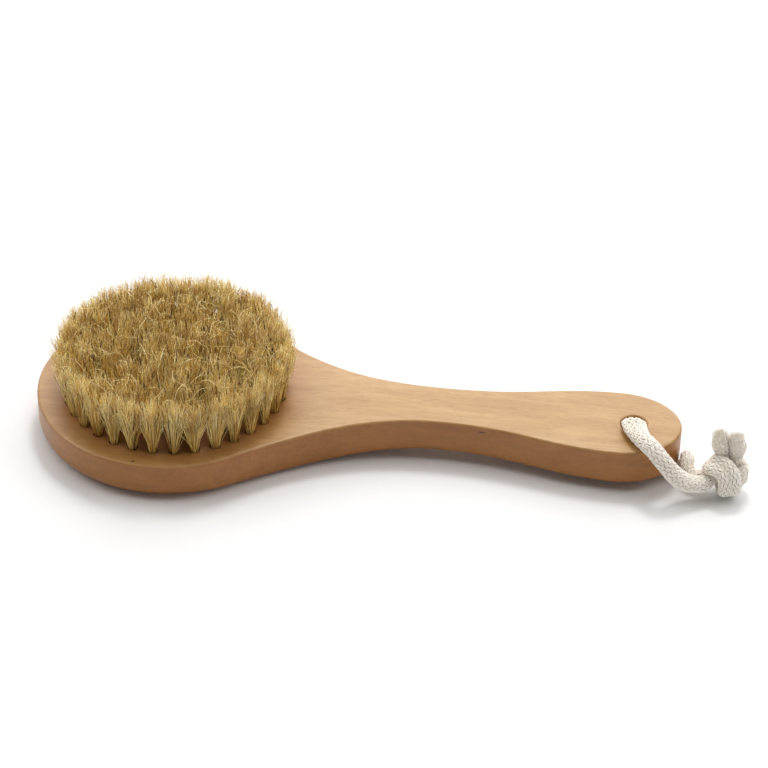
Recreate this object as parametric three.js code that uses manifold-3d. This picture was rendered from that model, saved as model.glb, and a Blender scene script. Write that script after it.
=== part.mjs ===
// A body dry brush lying on its back: a one-piece wooden paddle with a round head and a waisted handle,
// drilled and filled with six rings of bristle tufts, and a knotted cotton cord through the handle's end.
// Millimetres, +Z up, +X along the handle. The head's flat back rests on Z = 0.
import * as THREE from "three";
import { mergeVertices } from "three/addons/utils/BufferGeometryUtils.js";
import Module from "manifold-3d";

const wasm = await Module();
wasm.setup();

// Driving dimensions of the paddle, seen from above.
const LENGTH = 218;
const HEAD_RADIUS = 45;
const WAIST_HALF_WIDTH = 9.75;
const GRIP_HALF_WIDTH = 16.7;
const HEAD_X = HEAD_RADIUS - LENGTH / 2;
const WAIST_X = HEAD_X + 93;
const GRIP_X = HEAD_X + 152;
const END_X = LENGTH / 2;
const SHOULDER_ANGLE = THREE.MathUtils.degToRad(53);

// Its heights, seen from the side: a flat head, a raised waist and a slightly raised end.
const FLAT_HALF_LENGTH = 37;
const HEAD_THICKNESS = 14.5;
const WAIST_THICKNESS = 12.8;
const GRIP_THICKNESS = 13.4;
const WAIST_LIFT = 4;
const END_LIFT = 3;

// The edges: a wide round below, a light one above.
const HEAD_FILLET = 6.5;
const HANDLE_FILLET = 2.4;
const TOP_ROUND = 0.9;

// The hanging hole.
const HOLE_X = HEAD_X + 157;
const HOLE_RADIUS = 4.35;
const HOLE_ROUND = 0.9;

// The tufts: rings of holes round one centre, all drilled to one depth and trimmed to one height.
const TUFT_CENTRE_X = HEAD_X + 1.75;
const TUFT_COUNTS = [33, 27, 21, 15, 9, 3];
const OUTER_RING_RADIUS = 36.4;
const RING_STEP = 6.7;
const FIRST_TUFT_ANGLE = THREE.MathUtils.degToRad(-79.8);
const OUTER_LEAN = THREE.MathUtils.degToRad(2.5);
const TUFT_HOLE_RADIUS = 1.75;
const TUFT_HOLE_DEPTH = 9;
const STEM_RADIUS = 1.3;
const STEM_FOOT_GAP = 1.2;
const TUFT_TIP_RADIUS = 3.1;
const BRISTLE_HEIGHT = 18;
const CROWN_START = 8;
const CROWN_HALF_WIDTH = 3.1;
const TUFT_SIDES = 8;

// The cord, whose routes are given from the hole's centre.
const CORD_RADIUS = 3;
const CORD_SIDES = 10;
const KNOT_CENTRE = [32, -12, 7.7];
const KNOT_RADII = [7.3, 7.2, 7.2];

const HALF_TURN = Math.PI;
const FULL_TURN = 2 * Math.PI;

const wood = new THREE.MeshStandardMaterial({ color: 0xd9ae80, roughness: 0.55, metalness: 0 });
const bristle = new THREE.MeshStandardMaterial({ color: 0xbfa26a, roughness: 0.75, metalness: 0 });
const cotton = new THREE.MeshStandardMaterial({ color: 0xe8ded2, roughness: 0.95, metalness: 0 });

const brush = new THREE.Group();

function addPiece(name, geometry, material) {
  const mesh = new THREE.Mesh(geometry, material);
  mesh.name = name;
  brush.add(mesh);
}

// Smooth step from 0 at x = from to 1 at x = to.
function rise(x, from, to) {
  return THREE.MathUtils.smoothstep(x, from, to);
}

// Closed meshes to manifold solids and back.
function solidOf(geometry) {
  const bare = geometry.clone();
  bare.deleteAttribute("normal");
  bare.deleteAttribute("uv");
  const merged = mergeVertices(bare, 1e-4);
  return new wasm.Manifold(
    new wasm.Mesh({
      numProp: 3,
      vertProperties: new Float32Array(merged.attributes.position.array),
      triVerts: new Uint32Array(merged.index.array),
    }),
  );
}

function geometryOf(solid) {
  const mesh = solid.getMesh();
  const geometry = new THREE.BufferGeometry();
  geometry.setAttribute("position", new THREE.BufferAttribute(mesh.vertProperties, 3));
  geometry.setIndex(new THREE.BufferAttribute(mesh.triVerts, 1));
  geometry.computeVertexNormals();
  return geometry;
}

function joined(solids) {
  return solids.reduce((all, solid) => all.add(solid));
}

// ---- The wooden paddle ----

function backHeight(x) {
  const toWaist = WAIST_LIFT * rise(x, HEAD_X + FLAT_HALF_LENGTH, WAIST_X);
  const toEnd = (END_LIFT - WAIST_LIFT) * rise(x, WAIST_X, GRIP_X);
  return toWaist + toEnd;
}

function faceHeight(x) {
  const toWaist = (WAIST_THICKNESS - HEAD_THICKNESS) * rise(x, HEAD_X + FLAT_HALF_LENGTH, WAIST_X);
  const toGrip = (GRIP_THICKNESS - WAIST_THICKNESS) * rise(x, WAIST_X, GRIP_X);
  return backHeight(x) + HEAD_THICKNESS + toWaist + toGrip;
}

function filletRadius(x) {
  return THREE.MathUtils.lerp(HEAD_FILLET, HANDLE_FILLET, rise(x, HEAD_X + 5, WAIST_X - 25));
}

// Half of the outline, from the head's tip to the handle's, with its outward normals: the head's arc, the
// shoulder's and the handle's curves, and a quarter of an ellipse round the end.
function outlineStations() {
  const shoulder = new THREE.Vector2(Math.cos(SHOULDER_ANGLE), Math.sin(SHOULDER_ANGLE));
  const shoulderX = HEAD_X + HEAD_RADIUS * shoulder.x;
  const shoulderY = HEAD_RADIUS * shoulder.y;
  const shoulderPull = 24;
  const waistPull = 29;
  const gripPull = 23;
  const path = new THREE.Path();
  path.absarc(HEAD_X, 0, HEAD_RADIUS, HALF_TURN, SHOULDER_ANGLE, true);
  path.bezierCurveTo(
    shoulderX + shoulderPull * shoulder.y,
    shoulderY - shoulderPull * shoulder.x,
    WAIST_X - waistPull,
    WAIST_HALF_WIDTH,
    WAIST_X,
    WAIST_HALF_WIDTH,
  );
  path.bezierCurveTo(
    WAIST_X + waistPull,
    WAIST_HALF_WIDTH,
    GRIP_X - gripPull,
    GRIP_HALF_WIDTH,
    GRIP_X,
    GRIP_HALF_WIDTH,
  );
  path.absellipse(GRIP_X, 0, END_X - GRIP_X, GRIP_HALF_WIDTH, HALF_TURN / 2, 0, true);
  const steps = [24, 12, 10, 12];
  const stations = [];
  path.curves.forEach((curve, part) => {
    for (let step = part === 0 ? 0 : 1; step <= steps[part]; step += 1) {
      const t = step / steps[part];
      const point = curve.getPoint(t);
      const tangent = curve.getTangent(t);
      stations.push({ x: point.x, y: point.y, normal: new THREE.Vector2(-tangent.y, tangent.x) });
    }
  });
  for (const tip of [stations[0], stations.at(-1)]) {
    tip.y = 0;
    tip.normal.set(Math.sign(tip.x), 0);
  }
  return stations;
}

// The section's edge as rings from the back's flat to the face's flat: how far each ring is drawn in from the
// outline, and its height.
function edgeRings(x) {
  const quarterSteps = 4;
  const fillet = filletRadius(x);
  const rings = [];
  for (let step = 0; step <= quarterSteps; step += 1) {
    const angle = (step / quarterSteps) * (HALF_TURN / 2);
    rings.push({ inset: fillet * (1 - Math.sin(angle)), height: backHeight(x) + fillet * (1 - Math.cos(angle)) });
  }
  for (const angle of [0, HALF_TURN / 4, HALF_TURN / 2]) {
    rings.push({ inset: TOP_ROUND * (1 - Math.cos(angle)), height: faceHeight(x) - TOP_ROUND * (1 - Math.sin(angle)) });
  }
  return rings;
}

function paddleBlank() {
  const stations = outlineStations();
  const last = stations.length - 1;
  const ringSize = 2 * last;
  const ringCount = edgeRings(0).length;
  const positions = [];
  const triangles = [];
  for (let ring = 0; ring < ringCount; ring += 1) {
    for (let place = 0; place < ringSize; place += 1) {
      const far = place <= last;
      const station = stations[far ? place : ringSize - place];
      const { inset, height } = edgeRings(station.x)[ring];
      const y = station.y - inset * station.normal.y;
      positions.push(station.x - inset * station.normal.x, far ? y : -y, height);
    }
  }
  for (let ring = 0; ring + 1 < ringCount; ring += 1) {
    for (let place = 0; place < ringSize; place += 1) {
      const next = (place + 1) % ringSize;
      const low = ring * ringSize;
      const high = low + ringSize;
      triangles.push(low + place, high + place, high + next, low + place, high + next, low + next);
    }
  }
  // The back and the face are strips between mirrored stations.
  const faceStart = (ringCount - 1) * ringSize;
  for (let place = 0; place < last; place += 1) {
    const mirrored = (ringSize - place) % ringSize;
    const mirroredNext = ringSize - place - 1;
    const corners = [place, place + 1, mirroredNext, mirrored];
    for (const [a, b, c] of [[0, 1, 2], [0, 2, 3]]) {
      const corner = [corners[a], corners[b], corners[c]];
      if (new Set(corner).size === 3) {
        triangles.push(...corner);
        triangles.push(...corner.reverse().map((index) => faceStart + index));
      }
    }
  }
  const geometry = new THREE.BufferGeometry();
  geometry.setAttribute("position", new THREE.Float32BufferAttribute(positions, 3));
  geometry.setIndex(triangles);
  return geometry;
}

// The hanging hole's cutter, with rounded mouths.
function hangingHole() {
  const low = backHeight(HOLE_X);
  const high = faceHeight(HOLE_X);
  const mouth = HOLE_RADIUS + HOLE_ROUND;
  const clear = 1;
  const profile = [
    [0, low - clear],
    [mouth + clear, low - clear],
    [mouth, low],
    [HOLE_RADIUS + HOLE_ROUND / 4, low + HOLE_ROUND / 4],
    [HOLE_RADIUS, low + HOLE_ROUND],
    [HOLE_RADIUS, high - HOLE_ROUND],
    [HOLE_RADIUS + HOLE_ROUND / 4, high - HOLE_ROUND / 4],
    [mouth, high],
    [mouth + clear, high + clear],
    [0, high + clear],
  ].map(([x, y]) => new THREE.Vector2(x, y));
  const geometry = new THREE.LatheGeometry(profile, 24);
  geometry.rotateX(HALF_TURN / 2);
  geometry.translate(HOLE_X, 0, 0);
  return geometry;
}

// ---- The tufts ----

// A round shape given by its radius at each distance above the head's face, along +Z.
function turned(profile, sides) {
  const outline = profile.map(([radius, height]) => new THREE.Vector2(radius, height));
  const axisStart = new THREE.Vector2(0, outline[0].y);
  const axisEnd = new THREE.Vector2(0, outline.at(-1).y);
  const geometry = new THREE.LatheGeometry([axisStart, ...outline, axisEnd], sides);
  geometry.rotateX(HALF_TURN / 2);
  return geometry;
}

function ringRadius(ring) {
  return OUTER_RING_RADIUS - ring * RING_STEP;
}

function ringLean(ring) {
  return (OUTER_LEAN * ringRadius(ring)) / OUTER_RING_RADIUS;
}

// Moves a shape standing on the origin to tuft number place of a ring, leaning outwards.
function placed(geometry, ring, place) {
  const angle = FIRST_TUFT_ANGLE + (place / TUFT_COUNTS[ring]) * FULL_TURN;
  geometry.rotateY(ringLean(ring));
  geometry.translate(ringRadius(ring), 0, HEAD_THICKNESS);
  geometry.rotateZ(angle);
  geometry.translate(TUFT_CENTRE_X, 0, 0);
  return geometry;
}

function tuftHoles() {
  const overshoot = 1;
  return TUFT_COUNTS.flatMap((count, ring) =>
    Array.from({ length: count }, (_, place) => {
      const cutter = turned([[TUFT_HOLE_RADIUS, -TUFT_HOLE_DEPTH], [TUFT_HOLE_RADIUS, overshoot]], TUFT_SIDES);
      return solidOf(placed(cutter, ring, place));
    }),
  );
}

// One tuft of the outer ring: a stem in its hole that spreads towards the trimmed tips.
function outerTuft(place) {
  const profile = [
    [STEM_RADIUS, STEM_FOOT_GAP - TUFT_HOLE_DEPTH],
    [STEM_RADIUS, 0.5],
    [TUFT_TIP_RADIUS - 0.8, BRISTLE_HEIGHT / 2],
    [TUFT_TIP_RADIUS, BRISTLE_HEIGHT],
  ];
  return placed(turned(profile, TUFT_SIDES), 0, place);
}

// The tufts of an inner ring stand in holes of their own and merge above into one crown.
function innerTufts(ring) {
  const stems = Array.from({ length: TUFT_COUNTS[ring] }, (_, place) => {
    const profile = [
      [STEM_RADIUS, STEM_FOOT_GAP - TUFT_HOLE_DEPTH],
      [STEM_RADIUS, 0.5],
      [TUFT_TIP_RADIUS / 2, CROWN_START + 0.5],
    ];
    return solidOf(placed(turned(profile, TUFT_SIDES), ring, place));
  });
  return joined([solidOf(crown(ring)), ...stems]);
}

function crown(ring) {
  const centreAt = (height) => ringRadius(ring) + height * Math.tan(ringLean(ring));
  const section = [
    [-CROWN_HALF_WIDTH, CROWN_START],
    [CROWN_HALF_WIDTH, CROWN_START],
    [CROWN_HALF_WIDTH, BRISTLE_HEIGHT],
    [-CROWN_HALF_WIDTH, BRISTLE_HEIGHT],
  ].map(([offset, height]) => new THREE.Vector2(Math.max(0, centreAt(height) + offset), height));
  const geometry = new THREE.LatheGeometry([...section, section[0].clone()], TUFT_COUNTS[ring] + 9);
  geometry.rotateX(HALF_TURN / 2);
  geometry.translate(TUFT_CENTRE_X, 0, HEAD_THICKNESS);
  return geometry;
}

// ---- The cord ----

// A closed tube through points given from the hole's centre, each [x, y, z, half width, half height]. A point
// that leaves its halves out has the cord's own radius.
function cordTube(route, sides) {
  const centres = route.map(([x, y, z]) => new THREE.Vector3(HOLE_X + x, y, z));
  const path = new THREE.CatmullRomCurve3(centres, false, "centripetal");
  const widths = route.map(([, , , halfWidth = CORD_RADIUS]) => halfWidth);
  const heights = route.map(([, , , , halfHeight = CORD_RADIUS]) => halfHeight);
  const stepsBetween = 2;
  const rings = (route.length - 1) * stepsBetween;
  const positions = [];
  const triangles = [];
  let side = new THREE.Vector3(0, 1, 0);
  for (let ring = 0; ring <= rings; ring += 1) {
    const t = ring / rings;
    const at = path.getPoint(t);
    const along = path.getTangent(t);
    side = side.addScaledVector(along, -side.dot(along)).normalize();
    const up = new THREE.Vector3().crossVectors(along, side);
    const before = Math.min(Math.floor(ring / stepsBetween), route.length - 2);
    const share = ring / stepsBetween - before;
    const halfWidth = THREE.MathUtils.lerp(widths[before], widths[before + 1], share);
    const halfHeight = THREE.MathUtils.lerp(heights[before], heights[before + 1], share);
    for (let corner = 0; corner < sides; corner += 1) {
      const angle = (corner / sides) * FULL_TURN;
      const point = at.clone();
      point.addScaledVector(side, halfWidth * Math.cos(angle));
      point.addScaledVector(up, halfHeight * Math.sin(angle));
      positions.push(...point.toArray());
    }
  }
  for (let ring = 0; ring < rings; ring += 1) {
    for (let corner = 0; corner < sides; corner += 1) {
      const next = (corner + 1) % sides;
      const low = ring * sides;
      const high = low + sides;
      triangles.push(low + corner, low + next, high + next, low + corner, high + next, high + corner);
    }
  }
  for (let corner = 1; corner + 1 < sides; corner += 1) {
    const end = rings * sides;
    triangles.push(0, corner + 1, corner, end, end + corner, end + corner + 1);
  }
  const geometry = new THREE.BufferGeometry();
  geometry.setAttribute("position", new THREE.Float32BufferAttribute(positions, 3));
  geometry.setIndex(triangles);
  return geometry;
}

// From the middle of the hole up, flattened over the near edge of the handle, and down to the knot.
const UPPER_ROUTE = [
  [0, -0.8, 9.9, 3, 3.1],
  [0, -0.8, 13.6, 2.9, 3.4],
  [0, -1.3, 16.6, 2.6, 3.9],
  [0.1, -3.3, 18.6, 2.1, 4.3],
  [0.8, -6.2, 18.8, 2.2, 4.1],
  [2, -9.4, 19.1, 2.5, 3.6],
  [3.6, -12.4, 19.35, 2.8, 3.2],
  [5.4, -14.8, 19.5],
  [7.6, -17, 18.9],
  [9.7, -18.3, 17.1],
  [12, -18.9, 14.6],
  [14.7, -18.8, 11.3],
  [17.6, -18.3, 8.5],
  [21, -17.3, 6.9],
  [24.3, -15.9, 6.4, 2.45, 2.45],
];

// From the middle of the hole down, pressed flat under the handle's end, then up in a hump to the knot.
const PRESSED_HALF_WIDTH = 4.1;
const PRESSED_HALF_HEIGHT = 1.2;
const LOWER_ROUTE = [
  [0, -0.8, 9.5],
  [0, -0.8, 6.2, 2.8, 2.8],
  [0.5, -0.7, 3.4, 3, 2.2],
  [2.2, -0.6, 1.75, 3.6, 1.5],
  [5, -0.6, 1.4, PRESSED_HALF_WIDTH, PRESSED_HALF_HEIGHT],
  [8.5, -0.8, 1.4, PRESSED_HALF_WIDTH, PRESSED_HALF_HEIGHT],
  [12, -1.2, 1.4, PRESSED_HALF_WIDTH, PRESSED_HALF_HEIGHT],
  [14.8, -1.8, 1.5, 3.8, 1.3],
  [17.1, -2.5, 2.7, 3.2, 1.7],
  [18.5, -3.2, 5.3, 2.5, 2.2],
  [18.6, -4.4, 7.7, 2.4, 2.4],
  [18.7, -6.2, 8.2, 2.4, 2.4],
  [18.9, -8.2, 7.1, 2.4, 2.4],
  [19.7, -9.9, 5.7, 2.5, 2.5],
  [21.9, -10.8, 4.9, 2.6, 2.6],
  [24.3, -10.9, 5.2, 2.45, 2.45],
];

// The two frayed ends side by side above the knot.
const TAIL_HALF_DEPTH = 2.5;
const TAIL_HALF_WIDTH = 2.2;
const LEFT_TAIL = [
  [29.8, -9.2, 15.2, TAIL_HALF_DEPTH, TAIL_HALF_WIDTH],
  [29.4, -9.2, 17.6, TAIL_HALF_DEPTH, TAIL_HALF_WIDTH],
  [29.1, -9.2, 20, TAIL_HALF_DEPTH, TAIL_HALF_WIDTH],
  [28.6, -9.2, 23, TAIL_HALF_DEPTH, TAIL_HALF_WIDTH],
];
const RIGHT_TAIL = [
  [34.4, -9.2, 15.2, TAIL_HALF_DEPTH, TAIL_HALF_WIDTH],
  [34.3, -9.2, 17.6, TAIL_HALF_DEPTH, TAIL_HALF_WIDTH],
  [34.1, -9.2, 20, TAIL_HALF_DEPTH, TAIL_HALF_WIDTH],
  [33.8, -9.2, 22.7, TAIL_HALF_DEPTH, TAIL_HALF_WIDTH],
];

function knot() {
  const geometry = new THREE.SphereGeometry(1, 16, 12);
  geometry.scale(...KNOT_RADII);
  geometry.translate(HOLE_X + KNOT_CENTRE[0], KNOT_CENTRE[1], KNOT_CENTRE[2]);
  return geometry;
}

// ---- Assembly ----

const drilled = solidOf(paddleBlank()).subtract(joined([solidOf(hangingHole()), ...tuftHoles()]));
addPiece("wooden_body", geometryOf(drilled), wood);
for (let place = 0; place < TUFT_COUNTS[0]; place += 1) {
  addPiece(`outer_tuft_${String(place + 1).padStart(2, "0")}`, outerTuft(place), bristle);
}
for (let ring = 1; ring < TUFT_COUNTS.length; ring += 1) {
  addPiece(`tuft_ring_${ring + 1}`, geometryOf(innerTufts(ring)), bristle);
}
addPiece("cord_upper_strand", cordTube(UPPER_ROUTE, CORD_SIDES), cotton);
addPiece("cord_lower_strand", cordTube(LOWER_ROUTE, CORD_SIDES), cotton);
addPiece("cord_knot", knot(), cotton);
addPiece("cord_tail_left", cordTube(LEFT_TAIL, CORD_SIDES), cotton);
addPiece("cord_tail_right", cordTube(RIGHT_TAIL, CORD_SIDES), cotton);

export default brush;
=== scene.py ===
"""A dry body brush of pale wood: a round head full of bristle tufts, a waisted handle, and a hanging loop of
braided cotton cord with a knot. Lengths are in millimetres and become metres when a mesh is made."""

import math
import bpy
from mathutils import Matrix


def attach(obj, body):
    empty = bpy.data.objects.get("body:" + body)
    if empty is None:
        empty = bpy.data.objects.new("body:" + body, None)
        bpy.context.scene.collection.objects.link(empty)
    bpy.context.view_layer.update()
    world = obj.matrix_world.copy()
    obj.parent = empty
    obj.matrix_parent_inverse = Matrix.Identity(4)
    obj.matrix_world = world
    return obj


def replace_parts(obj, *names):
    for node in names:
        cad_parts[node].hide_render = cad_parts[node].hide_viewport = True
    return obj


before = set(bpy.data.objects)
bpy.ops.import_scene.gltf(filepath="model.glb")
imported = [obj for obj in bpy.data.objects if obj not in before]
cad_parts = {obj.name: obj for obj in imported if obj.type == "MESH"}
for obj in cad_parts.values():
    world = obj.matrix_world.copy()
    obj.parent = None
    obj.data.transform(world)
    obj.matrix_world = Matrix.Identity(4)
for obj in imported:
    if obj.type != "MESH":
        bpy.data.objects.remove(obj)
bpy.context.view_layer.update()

from types import SimpleNamespace

import bpy
import numpy as np
from mathutils import Matrix, Vector

MM = 0.001
FULL_TURN = 2 * math.pi
QUARTER_TURN = math.pi / 2

BRUSH_BODY = "brush"
CORD_BODY = "hang_loop"

# The paddle seen from above, along X from the head's end to the handle's end.
LENGTH = 218
HEAD_RADIUS = 45
WAIST_HALF_WIDTH = 9.75
GRIP_HALF_WIDTH = 16.7
HEAD_X = HEAD_RADIUS - LENGTH / 2
WAIST_X = HEAD_X + 93
GRIP_X = HEAD_X + 152
END_X = LENGTH / 2
SHOULDER_ANGLE = math.radians(53)
SHOULDER_PULL = 24
WAIST_PULL = 29
GRIP_PULL = 23

# Its heights, and the rounds of its edges.
FLAT_HALF_LENGTH = 37
HEAD_THICKNESS = 14.5
WAIST_THICKNESS = 12.8
GRIP_THICKNESS = 13.4
WAIST_LIFT = 4
END_LIFT = 3
HEAD_FILLET = 6.5
HANDLE_FILLET = 2.4
FILLET_FADE = (HEAD_X + 5, WAIST_X - 25)
TOP_ROUND = 0.9

# The hanging hole.
HOLE_X = HEAD_X + 157
HOLE_RADIUS = 4.35
HOLE_ROUND = 0.9

# The tufts, in rings of holes round one centre.
TUFT_CENTRE_X = HEAD_X + 1.75
TUFT_COUNTS = [33, 27, 21, 15, 9, 3]
OUTER_RING_RADIUS = 36.4
RING_STEP = 6.7
FIRST_TUFT_ANGLE = math.radians(-79.8)
OUTER_LEAN = math.radians(2.5)
TUFT_HOLE_RADIUS = 1.75
TUFT_HOLE_DEPTH = 9
BRISTLE_HEIGHT = 18

# The cord, a hollow braid of soft cotton yarns.
CORD_DIAMETER = 6
YARNS_EACH_WAY = 10
YARN_HALF_WIDTH = 0.39
YARN_HALF_DEPTH = 0.34
WEAVE_HEIGHT = 0.3
BRAID_PITCH = 27
KNOT_CENTRE = (32, -12.2, 7.1)
PAIR_OFFSET = 1.5

draws = np.random.default_rng(20)


def random_angle(count=None):
    """One angle anywhere on the circle, or an array of them."""
    return draws.random(count) * FULL_TURN


# ---- Meshes ----


def add_object(name, points, faces, materials, smooth=True):
    """A mesh object from points in millimetres."""
    mesh = bpy.data.meshes.new(name)
    mesh.from_pydata((np.asarray(points) * MM).tolist(), [], faces)
    for material in materials:
        mesh.materials.append(material)
    if smooth:
        mesh.shade_smooth()
    thing = bpy.data.objects.new(name, mesh)
    bpy.context.scene.collection.objects.link(thing)
    return thing


def unit(vectors):
    """The vectors at length 1."""
    size = np.linalg.norm(vectors, axis=-1, keepdims=True)
    return vectors / np.maximum(size, 1e-9)


FIBRE_SIDES = 3


def tubes(lines, outs, half_widths, half_depths, sides):
    """Closed tubes along lines (count, steps, 3). outs gives each point's depth direction."""
    count, steps, _ = lines.shape
    along = unit(np.gradient(lines, axis=1))
    across = unit(np.cross(along, outs))
    up = np.cross(across, along)
    corner_angles = np.arange(sides) / sides * FULL_TURN
    wide = half_widths[..., None, None] * np.cos(corner_angles)[:, None] * across[:, :, None, :]
    deep = half_depths[..., None, None] * np.sin(corner_angles)[:, None] * up[:, :, None, :]
    points = (lines[:, :, None, :] + wide + deep).reshape(-1, 3)
    index = np.arange(count * steps * sides).reshape(count, steps, sides)
    following = np.roll(index, -1, axis=2)
    quads = np.stack([index[:, :-1], following[:, :-1], following[:, 1:], index[:, 1:]], axis=-1)
    faces = quads.reshape(-1, 4).tolist()
    faces += index[:, 0, ::-1].tolist()
    faces += index[:, -1, :].tolist()
    return points, faces


def add_tone(thing, tones):
    """Keeps one tone for each point, which the material turns into a colour."""
    attribute = thing.data.attributes.new("tone", "FLOAT", "POINT")
    attribute.data.foreach_set("value", np.asarray(tones, dtype=np.float32))


SPLINE_STEPS = 24


def spline_piece(before, start, end, after):
    """The stretch from start to end of a centripetal Catmull-Rom curve, without its last point."""
    pairs = ((before, start), (start, end), (end, after))
    gap_before, gap, gap_after = (np.linalg.norm((b - a)[:3]) ** 0.5 for a, b in pairs)
    chord = (end - start) / gap
    slope_start = (start - before) / gap_before - (end - before) / (gap_before + gap) + chord
    slope_end = chord - (after - start) / (gap + gap_after) + (after - end) / gap_after
    return [
        (2 * t**3 - 3 * t**2 + 1) * start
        + (t**3 - 2 * t**2 + t) * gap * slope_start
        + (3 * t**2 - 2 * t**3) * end
        + (t**3 - t**2) * gap * slope_end
        for t in np.arange(SPLINE_STEPS) / SPLINE_STEPS
    ]


def spline(rows, spacing):
    """A smooth curve through the rows' first three columns, sampled at equal spacing. The other columns go
    with them."""
    rows = np.asarray(rows, dtype=float)
    rows = np.vstack([2 * rows[0] - rows[1], rows, 2 * rows[-1] - rows[-2]])
    samples = []
    for neighbours in zip(rows, rows[1:], rows[2:], rows[3:]):
        samples += spline_piece(*neighbours)
    samples = np.array(samples + [rows[-2]])
    steps = np.linalg.norm(np.diff(samples[:, :3], axis=0), axis=1)
    lengths = np.concatenate([[0], np.cumsum(steps)])
    wanted = np.linspace(0, lengths[-1], max(2, round(lengths[-1] / spacing) + 1))
    return np.column_stack([np.interp(wanted, lengths, column) for column in samples.T])


# ---- Materials ----

# The colour sockets of the mix node, which has some for every kind of value: factor, first, second, result.
MIX_INPUTS = (0, 6, 7)
MIX_OUTPUT = 2


class Shader:
    """A material's nodes, one call for each."""

    def __init__(self, name, roughness):
        self.material = bpy.data.materials.new(name)
        self.material.use_nodes = True
        self.nodes = self.material.node_tree.nodes
        self.links = self.material.node_tree.links
        self.surface = self.nodes["Principled BSDF"]
        self.surface.inputs["Roughness"].default_value = roughness

    def node(self, kind, inputs=None, **settings):
        """A node. Each input is a value, or another node's output to link to it."""
        node = self.nodes.new(kind)
        for key, value in settings.items():
            setattr(node, key, value)
        for key, value in (inputs or {}).items():
            if isinstance(value, bpy.types.NodeSocket):
                self.links.new(value, node.inputs[key])
            else:
                node.inputs[key].default_value = value
        return node

    def place(self, scale):
        """The object's own coordinates in metres, times scale."""
        coordinates = self.node("ShaderNodeTexCoord").outputs["Object"]
        return self.node("ShaderNodeMapping", {"Vector": coordinates, "Scale": scale}).outputs["Vector"]

    def noise(self, scale, detail=4, distortion=0.0):
        """Noise with cells of about 1 / scale metres along each axis."""
        inputs = {"Vector": self.place(scale), "Scale": 1.0, "Detail": detail, "Distortion": distortion}
        return self.node("ShaderNodeTexNoise", inputs).outputs["Fac"]

    def ramp(self, factor, stops):
        """A colour ramp with stops of (position, colour)."""
        node = self.node("ShaderNodeValToRGB", {"Fac": factor})
        elements = node.color_ramp.elements
        while len(elements) < len(stops):
            elements.new(1.0)
        for element, (position, colour) in zip(elements, stops):
            element.position = position
            element.color = (*colour, 1.0)
        return node.outputs["Color"]

    def spot(self, place, size):
        """1 inside a small ellipsoid round place, both in metres, and 0 outside it."""
        scale = [1 / length for length in size]
        shift = [-at / length for at, length in zip(place, size)]
        coordinates = self.node("ShaderNodeTexCoord").outputs["Object"]
        local = self.node("ShaderNodeMapping", {"Vector": coordinates, "Location": shift, "Scale": scale})
        distance = self.node("ShaderNodeVectorMath", {0: local.outputs["Vector"]}, operation="LENGTH")
        return self.ramp(distance.outputs["Value"], [(0.5, (1, 1, 1)), (1.0, (0, 0, 0))])

    def facing_up(self):
        """The height of the surface's normal in the object's own frame: 1 on its top, 0 on its sides."""
        normal = self.node("ShaderNodeTexCoord").outputs["Normal"]
        return self.node("ShaderNodeSeparateXYZ", {0: normal}).outputs["Z"]

    def mix(self, factor, first, second, blend="MIX"):
        """Two colours mixed. Each value is a number, a colour or another node's output."""
        node = self.node("ShaderNodeMix", data_type="RGBA", blend_type=blend)
        for place, value in zip(MIX_INPUTS, (factor, first, second)):
            if isinstance(value, bpy.types.NodeSocket):
                self.links.new(value, node.inputs[place])
            elif isinstance(value, (int, float)):
                node.inputs[place].default_value = value
            else:
                node.inputs[place].default_value = (*value, 1.0)
        return node.outputs[MIX_OUTPUT]

    def tint(self, strength, colour, factor, stops):
        """The colour times the ramp's colour, by strength."""
        return self.mix(strength, colour, self.ramp(factor, stops), "MULTIPLY")

    def finish(self, colour, bump=None, bump_distance=0.0002, bump_strength=0.5):
        """The finished material, with its colour and its fine relief. The distance is in metres."""
        self.links.new(colour, self.surface.inputs["Base Color"])
        if bump is not None:
            inputs = {"Height": bump, "Distance": bump_distance, "Strength": bump_strength}
            relief = self.node("ShaderNodeBump", inputs)
            self.links.new(relief.outputs["Normal"], self.surface.inputs["Normal"])
        return self.material


# The wood's colours along each ramp: its own, then what multiplies it. The last is painted shade: darker and
# redder on the sides, where the surface turns from facing up.
WOOD_CLOUDS = [(0.32, (0.465, 0.266, 0.097)), (0.5, (0.508, 0.305, 0.124)), (0.68, (0.545, 0.334, 0.146))]
WOOD_STREAKS = [(0.34, (0.86, 0.82, 0.76)), (0.6, (1.03, 1.03, 1.03))]
WOOD_RAYS = [(0.36, (0.88, 0.85, 0.8)), (0.56, (1.03, 1.03, 1.03))]
WOOD_PORES = [(0.3, (0.62, 0.52, 0.44)), (0.4, (1, 1, 1))]
WOOD_SIDE_SHADE = [(0.15, (0.74, 0.51, 0.21)), (0.8, (1, 1, 1))]

# Painted shade on the head's face round and between the tufts, where the bristles shade it: its size in
# metres and its colour.
TUFT_SHADE_SIZE = (0.049, 0.049, 0.012)
TUFT_SHADE_COLOUR = (0.38, 0.14, 0.032)

# Small dark knots in the wood's surface: place and size in metres.
FLECKS = [
    ((0.0432, -0.0114, 0.0146), (0.0022, 0.002, 0.0005)),
    ((-0.068, -0.043, 0.0144), (0.0007, 0.0006, 0.0005)),
]
FLECK_COLOUR = (0.07, 0.03, 0.012)
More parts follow.
